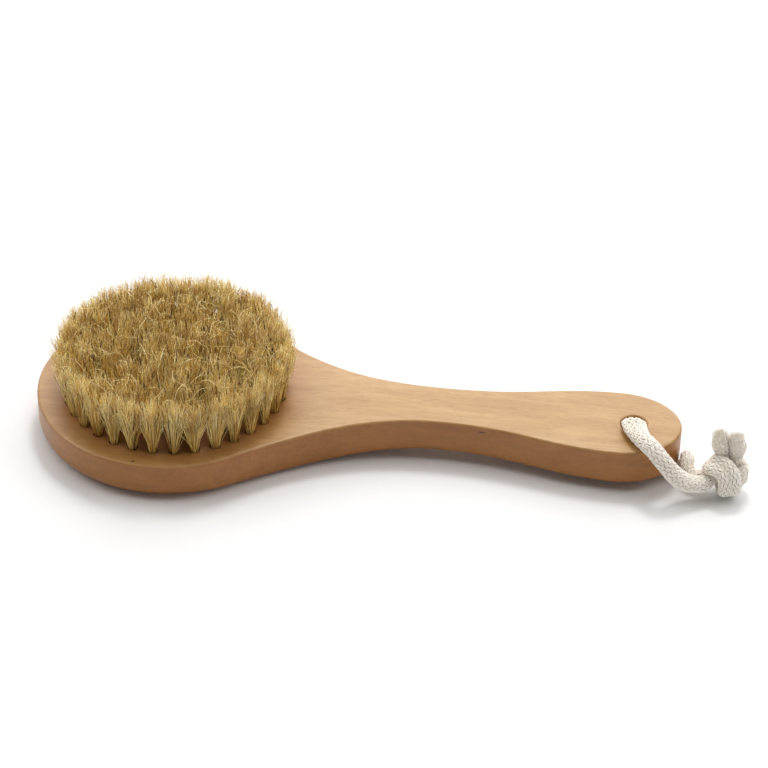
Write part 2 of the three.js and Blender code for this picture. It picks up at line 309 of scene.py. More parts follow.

# The bristles' colours by tone, then what multiplies them: a fine mottle, then random patches of painted
# shade and painted light that stand for shaded hollows and lit clumps.
BRISTLE_TONES = [
    (0.0, (0.99, 0.88, 0.56)),
    (0.2, (0.93, 0.74, 0.3)),
    (0.45, (0.72, 0.46, 0.12)),
    (0.7, (0.4, 0.19, 0.045)),
    (0.9, (0.07, 0.035, 0.015)),
    (1.0, (0.02, 0.012, 0.008)),
]
BRISTLE_MOTTLE = [(0.3, (0.88, 0.83, 0.72)), (0.65, (1.0, 1.0, 1.0))]
BRISTLE_SHADE_AND_LIGHT_PATCHES = [(0.36, (0.68, 0.52, 0.33)), (0.5, (1.02, 1.01, 0.98)), (0.64, (1.22, 1.24, 1.26))]

COTTON_PATCHES = [(0.3, (0.95, 0.89, 0.79)), (0.7, (0.98, 0.94, 0.87))]
COTTON_FIBRES = [(0.3, (0.88, 0.85, 0.8)), (0.55, (1, 1, 1))]
COTTON_SHADE = (0.4, 0.31, 0.2)

WIRE_SCRATCHES = [(0.3, (0.5, 0.48, 0.44)), (0.7, (0.66, 0.64, 0.6))]


def wood_material():
    """Pale close-grained hardwood with the grain along X, sanded and lightly waxed. Its sides get painted
    shade, darker and redder, and so does the face round the tufts.
    """
    shader = Shader("wood", 0.42)
    clouds = shader.noise((26, 90, 90), detail=4, distortion=1.0)
    colour = shader.ramp(clouds, WOOD_CLOUDS)
    streaks = shader.noise((11, 420, 420), detail=5, distortion=0.4)
    colour = shader.tint(0.55, colour, streaks, WOOD_STREAKS)
    rays = shader.noise((240, 1500, 700), detail=3)
    colour = shader.tint(0.6, colour, rays, WOOD_RAYS)
    pores = shader.noise((420, 3200, 3200), detail=2)
    colour = shader.tint(0.4, colour, pores, WOOD_PORES)
    # Painted shade: darker and redder on the sides, where the surface turns from facing up.
    colour = shader.tint(1.0, colour, shader.facing_up(), WOOD_SIDE_SHADE)
    # Painted shade on the face round the tufts.
    tuft_shade = shader.spot((TUFT_CENTRE_X * MM, 0, HEAD_THICKNESS * MM), TUFT_SHADE_SIZE)
    colour = shader.mix(tuft_shade, colour, TUFT_SHADE_COLOUR)
    for place, size in FLECKS:
        colour = shader.mix(shader.spot(place, size), colour, FLECK_COLOUR)
    shader.surface.inputs["Coat Weight"].default_value = 0.6
    shader.surface.inputs["Coat Roughness"].default_value = 0.4
    return shader.finish(colour, bump=streaks, bump_distance=0.00008, bump_strength=0.35)


def bristle_material():
    """Stiff natural bristle, from pale straw to dark brown by each bristle's tone, which also carries painted
    shade and light, with random patches of painted shade and light over the tufts.
    """
    shader = Shader("bristle", 0.5)
    tone = shader.node("ShaderNodeAttribute", attribute_name="tone").outputs["Fac"]
    colour = shader.ramp(tone, BRISTLE_TONES)
    mottle = shader.noise((900, 900, 260), detail=3)
    colour = shader.tint(0.7, colour, mottle, BRISTLE_MOTTLE)
    # Random patches of painted shade and painted light, for shaded hollows and lit clumps among the bristles.
    patches = shader.noise((260, 260, 70), detail=3, distortion=0.6)
    colour = shader.tint(0.75, colour, patches, BRISTLE_SHADE_AND_LIGHT_PATCHES)
    return shader.finish(colour)


def cotton_material():
    """Undyed cotton yarn: matt, slightly fuzzy, with fine fibres, and painted shade by its tone."""
    shader = Shader("cotton", 0.95)
    fibres = shader.noise((2600, 2600, 2600), detail=4)
    patches = shader.noise((160, 160, 160), detail=2)
    colour = shader.ramp(patches, COTTON_PATCHES)
    colour = shader.tint(0.6, colour, fibres, COTTON_FIBRES)
    tone = shader.node("ShaderNodeAttribute", attribute_name="tone").outputs["Fac"]
    # Painted shade in the braid's crevices, on the core and where yarns dive under, fading out at the tails.
    colour = shader.mix(tone, colour, COTTON_SHADE)
    shader.surface.inputs["Sheen Weight"].default_value = 0.4
    shader.surface.inputs["Sheen Roughness"].default_value = 0.5
    return shader.finish(colour, bump=fibres, bump_distance=0.0001, bump_strength=0.5)


def anchor_material():
    """Drawn steel wire."""
    shader = Shader("anchor_wire", 0.35)
    shader.surface.inputs["Metallic"].default_value = 1.0
    scratches = shader.noise((1500, 1500, 1500), detail=3)
    return shader.finish(shader.ramp(scratches, WIRE_SCRATCHES))


# ---- Camera ----

CAMERA_PLACE = Vector((102.81, -743.1, 585.67)) * MM
CAMERA_TARGET = Vector((6.38, 19.89, 8.0)) * MM
CAMERA_ROLL = math.radians(0.984)
CAMERA_LENS = 131.25


def add_camera():
    """The view from the handle's near side, with a long lens."""
    data = bpy.data.cameras.new("camera")
    data.lens = CAMERA_LENS
    data.clip_start = 0.05
    camera = bpy.data.objects.new("camera", data)
    bpy.context.scene.collection.objects.link(camera)
    turn = (CAMERA_TARGET - CAMERA_PLACE).to_track_quat("-Z", "Y").to_matrix().to_4x4()
    camera.matrix_world = Matrix.Translation(CAMERA_PLACE) @ turn @ Matrix.Rotation(CAMERA_ROLL, 4, "Z")
    bpy.context.scene.camera = camera


# ---- Cord ----

# Each row: x and y from the hole's centre, z, half width, half depth, and the direction of the depth.
UPPER_ROUTE = [
    (0, -0.8, 9.9, 3.1, 3, 0, 1, 0),
    (0, -0.8, 13.6, 3.4, 2.9, 0, 1, 0.1),
    (0, -1.3, 16.6, 3.9, 2.6, 0, 0.8, 0.6),
    (0.1, -3.3, 18.6, 4.3, 2.1, 0, 0.3, 1),
    (0.8, -6.2, 18.8, 4.1, 2.2, 0, 0, 1),
    (2, -9.4, 19.1, 3.6, 2.5, 0, 0, 1),
    (3.6, -12.4, 19.35, 3.2, 2.8, 0, 0, 1),
    (5.4, -14.8, 19.5, 3.1, 3, 0, 0, 1),
    (7.6, -17, 18.9, 3.1, 3, 0.2, -0.2, 1),
    (9.7, -18.3, 17.1, 3.1, 3, 0.5, -0.4, 0.8),
    (12, -18.9, 14.6, 3.1, 3, 0.6, -0.3, 0.7),
    (14.7, -18.8, 11.3, 3.3, 3.1, 0.6, -0.2, 0.8),
    (17.6, -18.3, 8.5, 3.5, 3.2, 0.4, -0.1, 0.9),
    (21, -17.3, 6.9, 3.3, 3, 0.2, 0, 1),
    (24.6, -15.8, 6.3, 2.9, 2.8, 0, 0, 1),
]
LOWER_ROUTE = [
    (0, -0.8, 9.5, 3.1, 3, 1, 0, 0),
    (0, -0.8, 6.2, 2.8, 2.8, 1, 0, 0),
    (0.5, -0.7, 3.4, 3, 2.2, 0.8, 0, 0.6),
    (2.2, -0.6, 1.75, 3.6, 1.5, 0.2, 0, 1),
    (5, -0.6, 1.4, 4.1, 1.2, 0, 0, 1),
    (8.5, -0.8, 1.4, 4.1, 1.2, 0, 0, 1),
    (12, -1.2, 1.4, 4.1, 1.2, 0, 0, 1),
    (14.8, -1.8, 1.5, 3.8, 1.3, 0, 0, 1),
    (17.1, -2.5, 2.7, 3.2, 1.7, -0.6, 0.1, 0.8),
    (18.5, -3.2, 5.3, 2.6, 2.2, -1, 0.1, 0.3),
    (18.6, -4.4, 7.7, 2.5, 2.4, -0.6, 0.4, 0.7),
    (18.7, -6.2, 8.2, 2.5, 2.4, 0.1, 0.1, 1),
    (18.9, -8.2, 7.1, 2.5, 2.4, 0.5, 0.5, 0.8),
    (19.7, -9.9, 5.7, 2.6, 2.5, 0.3, 0.5, 0.8),
    (21.9, -10.8, 4.9, 2.7, 2.6, 0.1, 0.2, 1),
    (24.6, -10.9, 5.3, 2.7, 2.6, 0, 0, 1),
]
LEFT_TAIL = [
    (30.1, -9.2, 13.7, 2.5, 2.3, 0, -1, 0),
    (29.4, -9.2, 17.6, 2.7, 2.5, 0, -1, 0),
    (28.7, -9.2, 21.6, 2.9, 2.6, 0, -1, 0),
]
RIGHT_TAIL = [
    (34.4, -9.2, 13.8, 2.5, 2.3, 0, -1, 0),
    (34.3, -9.2, 17.6, 2.7, 2.5, 0, -1, 0),
    (33.9, -9.2, 21.2, 2.7, 2.5, 0, -1, 0),
]

# The pair of strands through the overhand knot, from the knot's centre: through it, round its right side and
# its back, over its left shoulder and down its front, underneath, and up through the loop. The last three
# numbers point to the pair's inner side.
KNOT_ROUTE = [
    (-4.4, 0, -1.1, 0, 0.7, 0.7),
    (-1.5, 0.2, -0.9, 0, 1, 0.2),
    (1.7, 0, -0.4, 0, 1, 0),
    (4, 0.6, -0.1, -0.6, 0.8, 0),
    (5.3, 2.4, 0.2, -1, 0.2, 0),
    (3.9, 4.6, 1.1, -0.5, -0.9, 0),
    (0.6, 5.3, 2.1, 0, -1, -0.1),
    (-3.2, 4, 3.3, 0.5, -0.8, -0.4),
    (-5.2, 1.6, 4.1, 0.8, -0.3, -0.6),
    (-4.8, -0.4, 5, 0.6, 0.2, -0.8),
    (-2.2, -2.2, 5.6, 0.3, 0.5, -0.85),
    (0.2, -4, 4.2, 0, 0.8, -0.6),
    (1.2, -5, 1.1, -0.2, 1, 0),
    (1.3, -4, -2.4, -0.2, 0.8, 0.5),
    (1, -1.4, -4.4, -0.1, 0.3, 0.95),
    (0.5, 1.4, -4.5, 0, -0.3, 0.95),
    (0, 3.2, -3.2, 0, -0.8, 0.6),
    (-0.1, 3.2, 0.5, 0, -1, 0),
    (0, 3.2, 3.8, 0, -1, 0),
]
KNOT_HALF_WIDTH = 2.5
KNOT_HALF_DEPTH = 2.05
RING_SPACING = 0.36

# The braid: the angle from a pair's middle to each yarn, how it narrows towards its end, where its painted
# shade fades out there as painted light through the loose tail, and how much painted shade its yarns get
# where they dive under others.
YARN_SIDES = 5
PLY_SPREAD = 0.12
END_NARROWING = 0.35
NARROWING_LENGTH = 2.4
PALE_LENGTH = 2
PALE_FADE = 7
DIVE_SHADE = 0.24
YARN_LEAST_DEPTH = 0.3

# The core inside the braid.
CORE_SIDES = 12
CORE_SLACK = 1.15
CORE_LEAST_WIDTH = 0.3
CORE_LEAST_DEPTH = 0.2


class Strand:
    """One strand of the cord: its centreline, and at each step its directions, half width and half depth."""

    def __init__(self, rows):
        samples = spline(rows, RING_SPACING)
        self.centre = samples[:, :3] + np.array([HOLE_X, 0, 0])
        along = unit(np.gradient(self.centre, axis=0))
        self.across = unit(np.cross(along, unit(samples[:, 5:])))
        self.depth = np.cross(self.across, along)
        self.half_width = samples[:, 3]
        self.half_depth = samples[:, 4]
        self.squeeze = (self.half_width + self.half_depth) / CORD_DIAMETER
        self.last = len(self.centre) - 1
        self.travelled = np.arange(len(self.centre)) * RING_SPACING
        to_end = self.travelled[-1] - self.travelled
        self.ending = 1 - END_NARROWING * np.clip(1 - to_end / NARROWING_LENGTH, 0, 1)
        # Painted shade, faded out near the end as painted light through the loose tail.
        self.shade = np.clip((to_end - PALE_LENGTH) / PALE_FADE, 0, 1)
        self.piece = None

    def points(self, wide, deep, places=slice(None)):
        """Points off the centreline, wide across it and deep in its depth direction."""
        return self.centre[places] + wide[:, None] * self.across[places] + deep[:, None] * self.depth[places]


def knot_rows(side):
    """One strand's rows through the knot: side is 1 for the strand on the pair's right, -1 for its left."""
    pair = np.array(KNOT_ROUTE, dtype=float)
    along = unit(np.gradient(pair[:, :3], axis=0))
    across = unit(np.cross(along, unit(pair[:, 3:])))
    centre = pair[:, :3] + np.array(KNOT_CENTRE) + side * PAIR_OFFSET * across
    sizes = np.tile([KNOT_HALF_WIDTH, KNOT_HALF_DEPTH], (len(pair), 1))
    return np.column_stack([centre, sizes, unit(pair[:, 3:])])


def braid_yarns(strand):
    """Every yarn's line, outward directions and tones. Each pair of yarns goes over one and under one."""
    crossings = 2 * YARNS_EACH_WAY * strand.travelled / BRAID_PITCH
    lines, outs, tones = [], [], []
    for way in (1, -1):
        weave = way * np.cos(math.pi * crossings)
        drawn_in = (YARN_HALF_DEPTH + WEAVE_HEIGHT * (1 - weave)) * strand.squeeze
        drawn_deep = np.minimum(drawn_in, strand.half_depth - YARN_LEAST_DEPTH)
        for carrier in range(YARNS_EACH_WAY):
            middle = FULL_TURN * (way * strand.travelled / BRAID_PITCH + carrier / YARNS_EACH_WAY)
            for ply in (-1, 1):
                turn = middle + ply * PLY_SPREAD
                wide = strand.ending * (strand.half_width - drawn_in) * np.cos(turn)
                deep = strand.ending * (strand.half_depth - drawn_deep) * np.sin(turn)
                lines.append(strand.points(wide, deep))
                out_wide = (np.cos(turn) / strand.half_width)[:, None] * strand.across
                out_deep = (np.sin(turn) / strand.half_depth)[:, None] * strand.depth
                outs.append(unit(out_wide + out_deep))
                # Painted shade where a yarn dives under the others.
                tones.append(DIVE_SHADE * (1 - weave) ** 2 * strand.shade)
    return np.array(lines), np.array(outs), tones


def braid_core(strand):
    """The soft core that fills the braid."""
    gap = (2 * YARN_HALF_DEPTH + WEAVE_HEIGHT) * strand.squeeze * CORE_SLACK
    half_width = np.maximum(strand.ending * (strand.half_width - gap), CORE_LEAST_WIDTH)
    half_depth = np.maximum(strand.ending * (strand.half_depth - gap), CORE_LEAST_DEPTH)
    return tubes(strand.centre[None], strand.depth[None], half_width[None], half_depth[None], CORE_SIDES)


def braided_strand(name, rows, material):
    """A strand with its braid and core as one piece. The yarns thin out where the strand is squeezed."""
    strand = Strand(rows)
    lines, outs, tones = braid_yarns(strand)
    thickness = np.broadcast_to(strand.squeeze, lines.shape[:2])
    points, faces = tubes(lines, outs, YARN_HALF_WIDTH * thickness, YARN_HALF_DEPTH * thickness, YARN_SIDES)
    core_points, core_faces = braid_core(strand)
    faces += [[corner + len(points) for corner in face] for face in core_faces]
    strand.piece = add_object(name, np.vstack([points, core_points]), faces, [material])
    # The core is painted as shade all along, except near the end.
    point_tones = [np.repeat(tones, YARN_SIDES), np.repeat(strand.shade, CORE_SIDES)]
    add_tone(strand.piece, np.concatenate(point_tones))
    return strand


# The loose fibres on the cord: how many to a millimetre, where they start as a share of its half width, how
# far they stand up and curl, and their half thickness at each step.
FUZZ_PER_MM = 9
FUZZ_START = 0.93
FUZZ_RISE = 0.55
FUZZ_CURL = 0.35
FUZZ_STEPS = np.array([0, 0.35, 0.7, 1.0])
FUZZ_HALF_THICKNESS = np.array([0.035, 0.03, 0.022, 0.01])
FUZZ_LOWEST = 0.1


def fuzz_lines(strand):
    """Short loose fibres standing off one strand's surface."""
    count = int(len(strand.centre) * RING_SPACING * FUZZ_PER_MM)
    at = draws.integers(2, strand.last - 1, count)
    turn = random_angle(count)
    radial = np.cos(turn)[:, None] * strand.across[at] + np.sin(turn)[:, None] * strand.depth[at]
    wide = strand.half_width[at] * np.cos(turn) * FUZZ_START
    deep = strand.half_depth[at] * np.sin(turn) * FUZZ_START
    root = strand.points(wide, deep, at)
    along = unit(strand.centre[np.minimum(at + 1, strand.last)] - strand.centre[at - 1])
    sideways = np.cross(radial, along)
    lean = draws.normal(0, 1, (count, 2))
    size = draws.gamma(2.2, 0.28, count)[:, None]
    direction = unit(radial * FUZZ_RISE + along * lean[:, :1] + sideways * lean[:, 1:])
    curl = unit(draws.normal(0, 1, (count, 3)))
    return (
        root[:, None, :]
        + direction[:, None, :] * (size * FUZZ_STEPS)[..., None]
        + curl[:, None, :] * (size * FUZZ_CURL * FUZZ_STEPS**2)[..., None]
    )


def fuzz(name, strands, material):
    """The loose fibres of all the strands as one piece."""
    lines = np.vstack([fuzz_lines(strand) for strand in strands])
    lines[:, :, 2] = np.maximum(lines[:, :, 2], FUZZ_LOWEST)
    outs = np.broadcast_to(unit(draws.normal(0, 1, (len(lines), 1, 3))), lines.shape)
    thickness = np.broadcast_to(FUZZ_HALF_THICKNESS, lines.shape[:2])
    points, faces = tubes(lines, outs, thickness, thickness, FIBRE_SIDES)
    return add_object(name, points, faces, [material])


# The frayed end's fibres, in groups: how many, how far below the end they start, how far past it they reach,
# how far they open and bulge outward, how uneven they are, and their half thickness.
FRAY_GROUPS = [
    (46, 3.2, 1.9, 0.0, 0, 0.45, 0.27),
    (420, 2.2, 2.6, 0.1, 0, 0.9, 0.035),
    (3, 6, -0.6, 0.05, 0.7, 0.2, 0.24),
    (90, 7, 0.6, 0.15, 0.8, 0.8, 0.035),
    (18, 3, 3.6, 0.9, 0, 1.6, 0.03),
]
FRAY_STEPS = np.linspace(0, 1, 7)
FRAY_THINNING = np.array([1, 1, 1, 0.95, 0.85, 0.7, 0.4])
FRAY_START = 0.9
FRAY_EXTRA = 0.3
FRAY_SIDES = 4
END_DOME = 0.9


def fray_lines(strand, count, below, past, opening, bulge, uneven):
    """One group of the frayed end's fibres. Those that bulge start on the strand's surface, the others all
    over its section. They follow the strand and go straight on past its end."""
    start = strand.last - round(below / RING_SPACING)
    share = np.ones(count) if bulge else np.sqrt(draws.random(count))
    turn = random_angle(count)
    wide = share * np.cos(turn)
    deep = share * np.sin(turn)
    length = below + past * draws.random(count) - END_DOME * share**2 + FRAY_EXTRA
    if bulge:
        length *= draws.uniform(0.5, 1, count)
    run = length[:, None] * FRAY_STEPS
    places = np.minimum(start + run / RING_SPACING, strand.last).astype(int)
    over = np.maximum(start * RING_SPACING + run - strand.last * RING_SPACING, 0)
    onward = unit(strand.centre[-1] - strand.centre[-6])
    spread = FRAY_START + opening * FRAY_STEPS**2 + bulge * 0.3 * np.sin(math.pi * FRAY_STEPS)
    spread = spread + uneven * 0.2 * draws.normal(0, 1, (count, 1)) * FRAY_STEPS
    curl = unit(draws.normal(0, 1, (count, 3))) * draws.random((count, 1))
    return (
        strand.centre[places]
        + (over[..., None] * onward)
        + (wide[:, None] * spread * strand.half_width[places])[..., None] * strand.across[places]
        + (deep[:, None] * spread * strand.half_depth[places])[..., None] * strand.depth[places]
        + curl[:, None, :] * (uneven * FRAY_STEPS**2)[None, :, None]
    )


def frayed_end(name, strand, material):
    """The cut end's yarns and fibres, opened out and uneven."""
    lines, sizes = [], []
    for *group, half_thickness in FRAY_GROUPS:
        lines.append(fray_lines(strand, *group))
        sizes.append(np.broadcast_to(half_thickness * FRAY_THINNING, lines[-1].shape[:2]))
    lines, sizes = np.vstack(lines), np.vstack(sizes)
    outs = np.broadcast_to(np.array([1.0, 0.3, 0.0]), lines.shape)
    points, faces = tubes(lines, outs, sizes, sizes, FRAY_SIDES)
    return add_object(name, points, faces, [material])


def add_cord(material):
    """The one real cord as two strands that meet in the hole, each through the knot to its own tail."""
    upper = braided_strand("cord_upper", np.vstack([UPPER_ROUTE, knot_rows(1), RIGHT_TAIL]), material)
    lower = braided_strand("cord_lower", np.vstack([LOWER_ROUTE, knot_rows(-1), LEFT_TAIL]), material)
    loose = fuzz("cord_fuzz", [upper, lower], material)
    right_end = frayed_end("cord_frayed_right", upper, material)
    left_end = frayed_end("cord_frayed_left", lower, material)
    for piece in (upper.piece, lower.piece, loose, right_end, left_end):
        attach(piece, CORD_BODY)
    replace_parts(upper.piece, "cord_upper_strand", "cord_knot", "cord_tail_right")
    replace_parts(lower.piece, "cord_lower_strand", "cord_tail_left")


# ---- Wooden body ----

# How finely its curves are divided.
HEAD_STEPS = 80
SHOULDER_STEPS = 36
GRIP_STEPS = 28
END_STEPS = 36
FILLET_POINTS = 13
ROUND_POINTS = 7
HOLE_SIDES = 72
DRILL_SIDES = 20
SHARP_ANGLE = math.radians(30)


def rise(x, start, end):
    """Smooth step from 0 at x = start to 1 at x = end."""
    share = np.clip((x - start) / (end - start), 0, 1)
    return share * share * (3 - 2 * share)


def back_height(x):
    """The height of the back above the floor."""
    to_waist = WAIST_LIFT * rise(x, HEAD_X + FLAT_HALF_LENGTH, WAIST_X)
    return to_waist + (END_LIFT - WAIST_LIFT) * rise(x, WAIST_X, GRIP_X)


def face_height(x):
    """The height of the bristled face above the floor."""
    to_waist = (WAIST_THICKNESS - HEAD_THICKNESS) * rise(x, HEAD_X + FLAT_HALF_LENGTH, WAIST_X)
    to_grip = (GRIP_THICKNESS - WAIST_THICKNESS) * rise(x, WAIST_X, GRIP_X)
    return back_height(x) + HEAD_THICKNESS + to_waist + to_grip


def fillet_radius(x):
    """The round of the lower edge, large along the head and small along the handle."""
    return HEAD_FILLET + (HANDLE_FILLET - HEAD_FILLET) * rise(x, *FILLET_FADE)


def arc(centre, radius_x, radius_y, start, end, steps):
    """Points and slopes along an arc of an ellipse, clockwise from start to end."""
    angles = np.linspace(start, end, steps + 1)
    points = np.column_stack([centre + radius_x * np.cos(angles), radius_y * np.sin(angles)])
    slopes = np.column_stack([radius_x * np.sin(angles), -radius_y * np.cos(angles)])
    return points, slopes


def bezier(corners, steps):
    """Points and slopes along a cubic Bezier curve."""
    a, b, c, d = (np.array(corner, dtype=float) for corner in corners)
    t = np.linspace(0, 1, steps + 1)[:, None]
    points = (1 - t) ** 3 * a + 3 * t * (1 - t) ** 2 * b + 3 * t**2 * (1 - t) * c + t**3 * d
    slopes = 3 * (1 - t) ** 2 * (b - a) + 6 * t * (1 - t) * (c - b) + 3 * t**2 * (d - c)
    return points, slopes


def outline_stations():
    """Half of the outline, from the head's tip to the handle's: points and outward normals."""
    toward = (math.cos(SHOULDER_ANGLE), math.sin(SHOULDER_ANGLE))
    shoulder = (HEAD_X + HEAD_RADIUS * toward[0], HEAD_RADIUS * toward[1])
    shoulder_control = (shoulder[0] + SHOULDER_PULL * toward[1], shoulder[1] - SHOULDER_PULL * toward[0])
    waist = (WAIST_X, WAIST_HALF_WIDTH)
    waist_controls = [(WAIST_X + pull, WAIST_HALF_WIDTH) for pull in (-WAIST_PULL, WAIST_PULL)]
    grip = (GRIP_X, GRIP_HALF_WIDTH)
    grip_control = (GRIP_X - GRIP_PULL, GRIP_HALF_WIDTH)
    curves = [
        arc(HEAD_X, HEAD_RADIUS, HEAD_RADIUS, math.pi, SHOULDER_ANGLE, HEAD_STEPS),
        bezier([shoulder, shoulder_control, waist_controls[0], waist], SHOULDER_STEPS),
        bezier([waist, waist_controls[1], grip_control, grip], GRIP_STEPS),
        arc(GRIP_X, END_X - GRIP_X, GRIP_HALF_WIDTH, QUARTER_TURN, 0, END_STEPS),
    ]
    points = np.vstack([curve[0][1:] if place else curve[0] for place, curve in enumerate(curves)])
    slopes = unit(np.vstack([curve[1][1:] if place else curve[1] for place, curve in enumerate(curves)]))
    points[0, 1] = points[-1, 1] = 0
    return points, np.column_stack([-slopes[:, 1], slopes[:, 0]])


def edge_rings(x):
    """The edge's section from the back's flat to the face's: pairs of inset and height."""
    fillet = fillet_radius(x)
    rings = []
    for angle in np.linspace(0, QUARTER_TURN, FILLET_POINTS):
        rings.append((fillet * (1 - np.sin(angle)), back_height(x) + fillet * (1 - np.cos(angle))))
    for angle in np.linspace(0, QUARTER_TURN, ROUND_POINTS):
        rings.append((TOP_ROUND * (1 - np.cos(angle)), face_height(x) - TOP_ROUND * (1 - np.sin(angle))))
    return rings


def paddle_blank(material):
    """The paddle before its holes are drilled."""
    points, normals = outline_stations()
    last = len(points) - 1
    ring_size = 2 * last
    rings = [edge_rings(x) for x in points[:, 0]]
    ring_count = len(rings[0])
    corners, faces = [], []
    for ring in range(ring_count):
        for place in range(ring_size):
            station = place if place <= last else ring_size - place
            inset, height = rings[station][ring]
            x, y = points[station] - inset * normals[station]
            corners.append((x, y if place <= last else -y, height))
    for ring in range(ring_count - 1):
        for place in range(ring_size):
            following = (place + 1) % ring_size
            low, high = ring * ring_size, (ring + 1) * ring_size
            faces.append((low + place, high + place, high + following, low + following))
    face_start = (ring_count - 1) * ring_size
    for place in range(last):
        strip = [place, place + 1, ring_size - place - 1, (ring_size - place) % ring_size]
        strip = list(dict.fromkeys(strip))
        faces.append(tuple(strip))
        faces.append(tuple(face_start + corner for corner in reversed(strip)))
    return add_object("wooden_paddle", corners, faces, [material])


def turned(profile, sides):
    """A closed round solid with flat ends, from (radius, height) pairs."""
    angles = np.arange(sides) / sides * FULL_TURN
    ring = np.column_stack([np.cos(angles), np.sin(angles)])
    points = [(radius * c, radius * s, height) for radius, height in profile for c, s in ring]
    faces = []
    for level in range(len(profile) - 1):
        for place in range(sides):
            following = (place + 1) % sides
            low, high = level * sides, (level + 1) * sides
            faces.append([low + place, low + following, high + following, high + place])
    faces.append(list(range(sides))[::-1])
    faces.append([(len(profile) - 1) * sides + place for place in range(sides)])
    return np.array(points), faces


def level_directions(angle):
    """Outward and sideways at this angle round the head, both level."""
    outward = np.array([math.cos(angle), math.sin(angle), 0])
    sideways = np.array([-math.sin(angle), math.cos(angle), 0])
    return outward, sideways


def tuft_places():
    """Every tuft's ring, place in it, foot on the face, and outward, sideways and upward directions."""
    places = []
    up = np.array([0, 0, 1])
    for ring, count in enumerate(TUFT_COUNTS):
        radius = OUTER_RING_RADIUS - ring * RING_STEP
        lean = OUTER_LEAN * radius / OUTER_RING_RADIUS
        for place in range(count):
            flat, sideways = level_directions(FIRST_TUFT_ANGLE + place / count * FULL_TURN)
            foot = radius * flat + np.array([TUFT_CENTRE_X, 0, HEAD_THICKNESS])
            upward = math.cos(lean) * up + math.sin(lean) * flat
            outward = math.cos(lean) * flat - math.sin(lean) * up
            places.append((ring, place, foot, outward, sideways, upward))
    return places


def hanging_hole_profile(clear):
    """The hanging hole's section with its rounded mouths, reaching clear of the wood at both ends."""
    low, high = float(back_height(HOLE_X)), float(face_height(HOLE_X))
    mouth = HOLE_RADIUS + HOLE_ROUND
    profile = [(mouth + clear, low - clear)]
    for angle in np.linspace(0, QUARTER_TURN, ROUND_POINTS):
        profile.append((mouth - HOLE_ROUND * math.sin(angle), low + HOLE_ROUND * (1 - math.cos(angle))))
    for angle in np.linspace(QUARTER_TURN, 0, ROUND_POINTS):
        profile.append((mouth - HOLE_ROUND * math.sin(angle), high - HOLE_ROUND * (1 - math.cos(angle))))
    profile.append((mouth + clear, high + clear))
    return profile


def hole_cutters():
    """The hanging hole's cutter and one drill for each tuft."""
    clear = 1
    points, faces = turned(hanging_hole_profile(clear), HOLE_SIDES)
    drill_profile = [(TUFT_HOLE_RADIUS, -TUFT_HOLE_DEPTH), (TUFT_HOLE_RADIUS, clear)]
    drill_points, drill_faces = turned(drill_profile, DRILL_SIDES)
    all_points, all_faces = [points + np.array([HOLE_X, 0, 0])], list(faces)
    count = len(points)
    for _, _, foot, outward, sideways, upward in tuft_places():
        all_points.append(foot + drill_points @ np.array([outward, sideways, upward]))
        all_faces += [[corner + count for corner in face] for face in drill_faces]
        count += len(drill_points)
    return add_object("cutters", np.vstack(all_points), all_faces, [])


def add_wooden_body(material):
    """The one-piece paddle with all its holes drilled."""
    paddle = paddle_blank(material)
    cutters = hole_cutters()
    drill = paddle.modifiers.new("drill", "BOOLEAN")
    drill.operation = "DIFFERENCE"
    drill.solver = "EXACT"
    drill.object = cutters
    evaluated = paddle.evaluated_get(bpy.context.evaluated_depsgraph_get())
    drilled = bpy.data.meshes.new_from_object(evaluated)
    paddle.modifiers.clear()
    paddle.data = drilled
    bpy.data.objects.remove(cutters)
    drilled.shade_smooth()
    drilled.set_sharp_from_angle(angle=SHARP_ANGLE)
    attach(paddle, BRUSH_BODY)
    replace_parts(paddle, "wooden_body")


# ---- Bristles ----

BRISTLE_HALF_THICKNESS = 0.09
ROOT_RADIUS = 1.35
CURL_POWER = 12
MOST_SHORTFALL = 7.5

# Some bristles lean across to the next tuft: their share, how far they scatter outward and sideways, and how
# much of their tone is left.
LEANER_SHARE = 0.09
LEANER_SCATTER = [0.9, 3.4]
LEANER_TONE = 0.4

# The tones that a bristle starts from, and the tone above which it is a thick one.
BASE_TONES = [0.03, 0.2, 0.4, 0.62, 0.95]
DARK_TONE = 0.85

# How the outer ring's tufts and the inner ones differ. spread and scatter are outward and sideways. The rim
# and middle tones are painted shade towards a tuft's rim and painted light that makes the whole tuft paler.
OUTER_TUFTS = SimpleNamespace(
    bristles=290,
    levels=np.array([-7.6, 0, 5, 10, 14.5, 18]),
    spread=np.array([3.4, 4.3]),
    opening_power=1.5,
    lean=0.4,
    scatter=[0.8, 0.6],
    doming=1.8,
    tone_weights=[0.36, 0.38, 0.17, 0.08, 0.01],
    tone_scatter=0.06,
    rim_painted_shade=0.1,
    middle_painted_light=-0.04,
)
INNER_TUFTS = SimpleNamespace(
    bristles=175,
    levels=np.array([-7.6, 2, 9, 13, 16, 18]),
    spread=np.array([3.3, 3.7]),
    opening_power=1.0,
    lean=1.2,
    scatter=[0.95, 0.95],
    doming=2.4,
    tone_weights=[0.3, 0.33, 0.24, 0.1, 0.03],
    tone_scatter=0.11,
    rim_painted_shade=0.18,
    middle_painted_light=-0.07,
)


def random_disk(count):
    """Points spread evenly over a disk of radius 1, and how far each is from its centre."""
    share = np.sqrt(draws.random(count))
    turn = random_angle(count)
    return np.column_stack([share * np.cos(turn), share * np.sin(turn)]), share


def stepped(vectors, shares):
    """Each vector times each share."""
    return vectors[:, None, :] * shares[None, :, None]


def tuft_lines(spot, offset, height):
    """Lines from their offsets outward and sideways of the tuft's axis, and their heights along it."""
    _, _, foot, outward, sideways, upward = spot
    return foot + offset[..., :1] * outward + offset[..., 1:] * sideways + height[..., None] * upward


